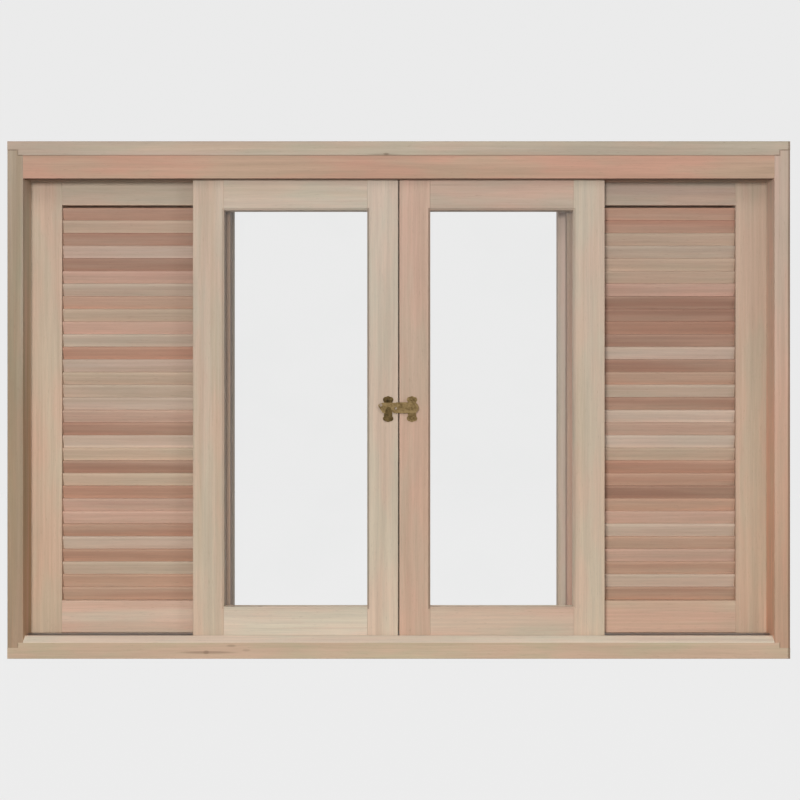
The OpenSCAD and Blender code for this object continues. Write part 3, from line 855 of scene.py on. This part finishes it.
@dataclass
class BoxFrame:
    """The boxed frame: boards, trim, tracks, and the nails and screws that hold the trim.

    Attributes:
        nail: Heads of the nails in the outer stops.
        screw: Heads of the screws in the feet of the tracks.
        pitch: The most between nails or between screws, in metres.
        inset: Distance of the first and the last from an end, in metres.
        stop: Height of the outer stops, in metres.
        foot: Thickness of the tracks' feet, in metres.
        beside: Distance of a screw from the middle of its track, in metres.
        tongue: Thickness of the jambs' tongues, in metres.
        seam: Half the width of the dark line at a corner lap, in metres.
        seam_depths: How dark the level and the upright lines are, from 0 to 1.
        knots: A knot and its streak at the foot of the head.
        smudges: Knots and streaks on the sill.
        edge: A painted shade line down the right outer edge, where the arris is in shade.
    """

    nail: NailHeads = field(default_factory=lambda: NailHeads(1.5 * MM, 0.3 * MM, 0.4 * MM))
    screw: NailHeads = field(default_factory=lambda: NailHeads(2.2 * MM, 0.8 * MM, 0.4 * MM))
    pitch: float = 220 * MM
    inset: float = 60 * MM
    stop: float = 15 * MM
    foot: float = 2 * MM
    beside: float = 5 * MM
    tongue: float = 20 * MM
    seam: float = 1.0 * MM
    seam_depths: Pair = (0.6, 0.45)
    knots: Tuple[Mark, ...] = (
        Mark(-0.024, 0.9672, 0.005, 0.0022, 0.5),
        Mark(-0.03, 0.9665, 0.03, 0.0012, 0.3),
    )
    smudges: Tuple[Mark, ...] = (
        Mark(-0.366, 0.0125, 0.04, 0.0018, 0.34),
        Mark(-0.369, 0.0125, 0.004, 0.003, 0.3),
        Mark(-0.321, 0.0255, 0.008, 0.002, 0.3),
        Mark(-0.292, 0.0165, 0.006, 0.002, 0.2),
    )
    # Painted shade: a dark line down the right outer edge, where the arris is in shade
    edge: Mark = Mark(0.7482, 0.2, 0.0022, 1.2, 0.62)

    def seams(self) -> Tuple[Mark, ...]:
        """Dark lines of the corner laps, where the jambs' tongues go into the head and the sill.

        Returns:
            A mark for each straight stretch that shows.
        """
        head_low, jamb_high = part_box("head")[0].z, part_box("left_jamb")[1].z
        sill_high, jamb_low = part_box("sill")[1].z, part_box("left_jamb")[0].z
        inner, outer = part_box("right_jamb")[0].x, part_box("right_jamb")[1].x
        tongue = outer - self.tongue
        level, upright = self.seam_depths
        marks = []
        for side in (-1.0, 1.0):
            for low, high, z in ((tongue, outer, jamb_high), (inner, tongue, head_low)):
                marks.append(Mark(side * (low + high) / 2, z, (high - low) / 2, self.seam, level))
            for low, high in ((sill_high, jamb_low), (head_low, jamb_high)):
                marks.append(Mark(side * tongue, (low + high) / 2, self.seam, abs(high - low) / 2, upright))
        return tuple(marks)

    def finishes(self) -> Dict[str, WoodFinish]:
        """Finishes of the wooden pieces.

        Returns:
            A finish by the name of each solid.
        """
        seams = self.seams()
        across, upright = Grain.ALONG_X, Grain.ALONG_Z
        posts = (0.0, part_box("outer_stops")[1].x - self.stop)
        # flank is painted light on the jambs' inner faces and painted shade on the fascia's underside
        return {
            "head": WoodFinish("head_wood", Tone.DOVE, Tone.HAY, across, 3,
                               marks=(*self.knots, self.edge, *seams)),
            "sill": WoodFinish("sill_wood", Tone.SAND, Tone.HAY, across, 5,
                               marks=(*self.smudges, self.edge, *seams),
                               blush=(1.03, 0.97, 0.97, 1.0), sage=(0.91, 1.0, 0.95, 1.0)),
            "left_jamb": WoodFinish("left_jamb_wood", Tone.OLIVE, Tone.ASH, upright, 7,
                                    marks=seams, painted_flank_light=1.4,
                                    low_painted_light=(1.09, 0.97, 0.88, 1.0), high_painted_light=(1.08, 1.16, 1.21, 1.0)),
            "right_jamb": WoodFinish("right_jamb_wood", Tone.BLUSH, Tone.TAN, upright, 11,
                                     marks=(self.edge, *seams), painted_flank_light=1.42,
                                     low_painted_light=(1.10, 0.97, 0.89, 1.0), high_painted_light=(0.95, 1.0, 1.06, 1.0)),
            "head_fascia": WoodFinish("fascia_wood", Tone.TERRA, Tone.ROSE, across, 13, painted_flank_light=0.4,
                                      blush=(1.08, 0.97, 0.93, 1.0), sage=(0.96, 1.02, 0.96, 1.0)),
            "head_parting_strips": WoodFinish("parting_strip_wood", Tone.SAND, Tone.CLAY, across, 17),
            "sill_lip": WoodFinish("sill_lip_wood", Tone.IVORY, Tone.MILK, across, 19),
            "outer_stops": WoodFinish("outer_stop_wood", Tone.SAND, Tone.OAT, across, 23, posts=posts),
        }

    def spaced(self, low: float, high: float) -> np.ndarray:
        """Even places between two ends, no farther apart than the pitch, in metres."""
        length = high - low - 2 * self.inset
        return np.linspace(low + self.inset, high - self.inset, math.ceil(length / self.pitch) + 1)

    def fasten(self, steel: bpy.types.Material) -> None:
        """Nails the outer stops from the opening's side, and screws down the tracks by turns on either side.

        Args:
            steel: Finish of the nails and screws.
        """
        low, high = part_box("outer_stops")
        depth = (low.y + high.y) / 2
        across, upward = self.spaced(low.x, high.x), self.spaced(low.z, high.z)
        for name, place, axis in (("bottom", low.z + self.stop, 1.0), ("top", high.z - self.stop, -1.0)):
            centres = np.stack(np.broadcast_arrays(across, depth, place), axis=-1)
            self.nail.build(f"{name}_stop_nails", centres, (0.0, 0.0, axis), steel)
        for name, place, axis in (("left", low.x + self.stop, 1.0), ("right", high.x - self.stop, -1.0)):
            centres = np.stack(np.broadcast_arrays(place, depth, upward), axis=-1)
            self.nail.build(f"{name}_stop_nails", centres, (axis, 0.0, 0.0), steel)
        low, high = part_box("track_rails")
        along = self.spaced(low.x, high.x)
        turns = self.beside * np.where(np.arange(len(along)) % 2, 1.0, -1.0)
        for kind in ("glass", "louvre"):
            near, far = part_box(f"left_{kind}_outer_roller")
            rows = (near.y + far.y) / 2 + turns
            centres = np.stack(np.broadcast_arrays(along, rows, low.z + self.foot), axis=-1)
            self.screw.build(f"{kind}_track_screws", centres, (0.0, 0.0, 1.0), steel)

    def build(self, kit: Kit) -> None:
        """Dresses the frame and adds its nails and screws.

        Args:
            kit: The shared materials.
        """
        for node, finish in self.finishes().items():
            dress(node, finish.build())
        dress("track_rails", ALUMINIUM.build())
        self.fasten(kit.steel)


@dataclass
class Leaf:
    """The members of a leaf, and what it rolls on.

    Attributes:
        prefix: Start of the names of its solids.
        inner: Name of the stile that is nearer the middle of the window.
        boards: Tones of the outer stile, inner stile, top rail and bottom rail.
        seed: Seed of the leaf's grain.
        rolls: Whether the leaf slides on rollers.
    """

    prefix: str
    inner: str
    boards: Sequence[Board]
    seed: int
    rolls: bool

    def build(self, kit: Kit) -> None:
        """Gives each member its own wood, and the axles and rollers their finishes.

        Args:
            kit: The shared materials.
        """
        members = ("outer_stile", self.inner, "top_rail", "bottom_rail")
        for place, (member, board) in enumerate(zip(members, self.boards)):
            grain = Grain.ALONG_Z if member.endswith("stile") else Grain.ALONG_X
            node = f"{self.prefix}_{member}"
            finish = WoodFinish(f"{node}_wood", board.body, board.streak, grain, self.seed + place,
                                painted_flank_light=board.painted_flank_light, bevel=board.bevel)
            dress(node, finish.build())
        if self.rolls:
            dress(f"{self.prefix}_axles", kit.steel)
            for end in ("outer", "inner"):
                dress(f"{self.prefix}_{end}_roller", kit.nylon)


@dataclass
class GlassLeaf(Leaf):
    """A glass leaf, with its pane and the beads that hold it.

    Attributes:
        side: left or right, as seen from the room.
        bead: Width of a glazing bead, in metres.
    """

    side: str
    bead: float = 10 * MM

    def build(self, kit: Kit) -> None:
        """Dresses the leaf.

        Args:
            kit: The shared materials.
        """
        super().build(kit)
        low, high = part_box(f"{self.side}_glazing_beads")
        posts = ((low.x + high.x) / 2, (high.x - low.x) / 2 - self.bead)
        beads = WoodFinish(f"{self.side}_bead_wood", Tone.OAT, Tone.SAND, Grain.ALONG_X, self.seed + 9,
                           posts=posts)
        dress(f"{self.side}_glazing_beads", beads.build())
        if self.side == "left":
            strip = WoodFinish("meeting_strip_wood", Tone.OAT, Tone.SAND, Grain.ALONG_Z, self.seed + 10)
            dress("left_meeting_strip", strip.build())
        dress(f"{self.side}_pane", kit.glass)
        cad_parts[f"{self.side}_pane"].visible_shadow = False


@dataclass
class LouvreLeaf(Leaf):
    """A louvre leaf, sliding or fixed, with its slats.

    Attributes:
        body: The body that carries it.
        slats: Letters of the slats' tones, from the top.
        lift: How much paler its slats are than their tones are written.
    """

    body: str
    slats: str
    lift: float = 0.975

    def build(self, kit: Kit) -> None:
        """Dresses the leaf and builds its slats.

        Args:
            kit: The shared materials.
        """
        super().build(kit)
        stack = SlatStack(f"{self.prefix}_slats", self.body, self.slats, self.seed, lift=self.lift)
        stack.build(kit.slat_wood)


@dataclass
class Latch:
    """The swing latch on the meeting stiles.

    Attributes:
        bright: Solids that hands keep bright.
        dark: Solids that have gone darker.
    """

    bright: Tuple[str, ...] = ("latch_base", "latch_base_screws", "latch_pivot", "latch_arm")
    dark: Tuple[str, ...] = ("latch_keeper", "keeper_screws")

    def build(self) -> None:
        """Dresses the latch in antique brass."""
        for nodes, finish in ((self.bright, BRASS), (self.dark, DARK_BRASS)):
            brass = finish.build()
            for node in nodes:
                dress(node, brass)


@dataclass(frozen=True)
class Softbox:
    """A round soft lamp in front of the window.

    Attributes:
        place: Where it hangs, in metres.
        width: Its diameter, in metres.
        power: Its power, in watts.
        colour: Linear colour of its light.
    """

    place: Triple
    width: float
    power: float
    colour: Colour = WHITE


@dataclass
class Studio:
    """Pale floor and background, soft light, and the camera.

    Attributes:
        background: Linear level of the background as it is seen.
        dome: Level of the even light from all round.
        softboxes: The soft lamps in front of the window.
        aim: Where the softboxes point.
        back_from: Where the soft light behind the window comes from.
        back: Strength of the light behind the window.
        back_spread: How widely that light is spread, in radians.
        shade_share: How much of the floor's own shading shows.
        floor_half: Half the floor's length, in metres.
        floor_paint: Linear colour of the floor's paint.
        floor_fade: Distances from the window at which that shading starts to fade and is gone, in metres.
        camera_at: The camera's place, in metres.
        lens: The camera's lens, in millimetres.
        sensor: Width of the camera's sensor, in millimetres.
    """

    background: float = 0.83
    dome: float = 0.05
    softboxes: Tuple[Softbox, ...] = (
        Softbox((-0.76, -5.0, 1.1), 0.8, 128.0),
        Softbox((2.6, -3.4, 1.2), 1.0, 26.0),
        Softbox((-0.5, -3.6, 0.2), 1.0, 15.0, WARM),
        Softbox((0.0, -2.6, 2.4), 1.4, 18.0),
    )
    aim: Triple = (0.0, 0.0, 0.5)
    back_from: Triple = (-0.55, 1.0, 0.5)
    back: float = 1.5
    back_spread: float = math.radians(50.0)
    shade_share: float = 0.05
    floor_half: float = 12.0
    floor_paint: Colour = (0.4, 0.4, 0.4, 1.0)
    floor_fade: Pair = (1.5, 5.0)
    camera_at: Triple = (0.0024, -2.77, 0.496)
    lens: float = 63.42
    sensor: float = 36.0

    def seen(self, graph: Graph) -> Socket:
        """Tells what the eye sees directly, in gloss or through glass from what only lights the window.

        Args:
            graph: The tree to add to.

        Returns:
            A share that is 1 for what is seen.
        """
        path = graph.add("LightPath")
        direct = graph.math("MAXIMUM", path.outputs["Is Camera Ray"], path.outputs["Is Glossy Ray"])
        return graph.math("MAXIMUM", direct, path.outputs["Is Transmission Ray"])

    def light(self) -> None:
        """Sets the world and the soft light."""
        world = bpy.data.worlds.new("studio_world")
        bpy.context.scene.world = world
        world.use_nodes = True
        graph = Graph(world.node_tree)
        dome = graph.add("Background", {"Strength": self.dome, "Color": WARM})
        view = graph.add("Background", {"Strength": self.background, "Color": WHITE})
        mixed = graph.add("MixShader", {0: self.seen(graph), 1: dome.outputs[0], 2: view.outputs[0]})
        graph.finish(mixed, "OutputWorld")
        for box in self.softboxes:
            lamp = bpy.data.lights.new("softbox", "AREA")
            lamp.shape = "DISK"
            lamp.size = box.width
            lamp.energy = box.power
            lamp.color = box.colour[:3]
            self.hang(lamp, Vector(box.place), Vector(box.place) - Vector(self.aim))
        lamp = bpy.data.lights.new("back_light", "SUN")
        lamp.energy = self.back
        lamp.angle = self.back_spread
        self.hang(lamp, Vector(self.back_from), Vector(self.back_from))

    def hang(self, lamp: bpy.types.Light, place: Vector, away: Vector) -> None:
        """Hangs a lamp so that only its light is seen.

        Args:
            lamp: The lamp.
            place: Where it hangs.
            away: The way from what it lights to the lamp.
        """
        holder = bpy.data.objects.new(lamp.name, lamp)
        holder.location = place
        holder.rotation_euler = away.to_track_quat("Z", "Y").to_euler()
        holder.visible_camera = False
        holder.visible_glossy = False
        holder.visible_transmission = False
        bpy.context.scene.collection.objects.link(holder)

    def floor(self) -> None:
        """Lays the pale floor, which keeps a share of the window's shadow."""
        half = self.floor_half
        corners = np.array([[-half, -half, 0.0], [half, -half, 0.0], [half, half, 0.0], [-half, half, 0.0]])
        mesh = bpy.data.meshes.new("studio_floor")
        mesh.from_pydata(corners, [], [(0, 1, 2, 3)])
        material, graph = new_material("studio_floor_paint")
        plain = graph.add("BsdfDiffuse", {"Color": self.floor_paint})
        reach = graph.vector("LENGTH", graph.coords["Object"]).outputs["Value"]
        shade = graph.remap(reach, self.floor_fade, (self.shade_share, 0.0))
        level = graph.math("DIVIDE", self.background, graph.math("SUBTRACT", 1.0, shade))
        glow = graph.add("Emission", {"Color": WHITE, "Strength": level})
        share = graph.math("MULTIPLY", self.seen(graph), graph.math("SUBTRACT", 1.0, shade))
        mixed = graph.add("MixShader", {0: share, 1: plain.outputs[0], 2: glow.outputs[0]})
        graph.finish(mixed)
        mesh.materials.append(material)
        floor = bpy.data.objects.new("studio_floor", mesh)
        bpy.context.scene.collection.objects.link(floor)

    def camera(self) -> None:
        """Sets the camera in front of the window, looking straight at it."""
        data = bpy.data.cameras.new("front_camera")
        data.sensor_fit = "HORIZONTAL"
        data.sensor_width = self.sensor
        data.lens = self.lens
        camera = bpy.data.objects.new("front_camera", data)
        camera.location = self.camera_at
        camera.rotation_euler = (math.radians(90.0), 0.0, 0.0)
        bpy.context.scene.collection.objects.link(camera)
        bpy.context.scene.camera = camera

    def build(self) -> None:
        """Sets up light, floor, camera and the plain view of colours."""
        bpy.context.scene.view_settings.view_transform = "Standard"
        self.light()
        self.floor()
        self.camera()


# Tones of the slats from the top of each louvre, listed with a letter of Slat to each
LEFT_SLATS = "REDLDPGBEPGRLEGLPDLEDERPPRLRGBR"
RIGHT_SLATS = "BREGEEPDDRDLDBGDLPLERRDBPLBPBLR"
FIXED_SLATS = "EPGBLERPGEDPLBGREPLGBERPGLEBPGE"


def main() -> None:
    """Builds the studio and every sub-assembly of the window in order."""
    logging.basicConfig(level=logging.INFO, format="%(name)s: %(message)s")
    Studio().build()
    # The slats' low_painted_light and high_painted_light are painted light: lighter low down and darker up
    # top.
    slat_wood = SlatFinish("slat_wood_mixed", Tone.SAND, Tone.TAN, Grain.ALONG_X, 0, 0.5,
                           low_painted_light=(1.11, 1.12, 1.11, 1.0), high_painted_light=(0.93, 0.90, 0.92, 1.0),
                           blush=(1.02, 0.99, 0.985, 1.0), sage=(0.98, 1.005, 1.0, 1.0))
    kit = Kit(GlassFinish().build(), STEEL.build(), NylonFinish().build(), slat_wood.build())
    BoxFrame().build(kit)
    # bevel=0.72 paints shade on the meeting stiles' bevels; 1.8 and 1.9 paint light on the louvres' top rails'
    # narrow faces
    left_glass = (Board(Tone.SAND, Tone.OAT), Board(Tone.OAT, Tone.DOVE, bevel=0.72),
                  Board(Tone.OAT, Tone.HAY), Board(Tone.CREAM, Tone.IVORY))
    right_glass = (Board(Tone.SAND, Tone.OAT), Board(Tone.BLUSH, Tone.TAN, bevel=0.72),
                   Board(Tone.BLUSH, Tone.DOVE), Board(Tone.OAT, Tone.SHELL))
    # Painted shade: the louvres' meeting stiles and the fixed leaves' inner stiles take dark tones for the
    # shade behind the glass
    pale = (Board(Tone.SAND, Tone.TAN), Board(Tone.MOSS, Tone.BARK), Board(Tone.SAND, Tone.DOVE, 1.8),
            Board(Tone.SHELL, Tone.CREAM))
    pink = (Board(Tone.SAND, Tone.TAN), Board(Tone.UMBER, Tone.OLIVE), Board(Tone.ASH, Tone.TAN, 1.9),
            Board(Tone.BLUSH, Tone.SAND))
    dark = (Board(Tone.TAN, Tone.BLUSH), Board(Tone.OLIVE, Tone.ASH), Board(Tone.ASH, Tone.TAN),
            Board(Tone.SHELL, Tone.SAND))
    grey = (Board(Tone.BLUSH, Tone.TAN), Board(Tone.ASH, Tone.OLIVE), Board(Tone.ASH, Tone.OLIVE),
            Board(Tone.BLUSH, Tone.SAND))
    leaves: Tuple[Leaf, ...] = (
        GlassLeaf("left_glass", "meeting_stile", left_glass, 100, True, "left"),
        GlassLeaf("right_glass", "meeting_stile", right_glass, 120, True, "right"),
        LouvreLeaf("left_louvre", "meeting_stile", pale, 140, True, "left_louvre_leaf", LEFT_SLATS),
        LouvreLeaf("right_louvre", "meeting_stile", pink, 160, True, "right_louvre_leaf", RIGHT_SLATS, 0.91),
        LouvreLeaf("left_fixed", "inner_stile", dark, 180, False, "frame", FIXED_SLATS),
        LouvreLeaf("right_fixed", "inner_stile", grey, 200, False, "frame", FIXED_SLATS[::-1]),
    )
    for leaf in leaves:
        leaf.build(kit)
    Latch().build()


if __name__ == "__main__":
    main()
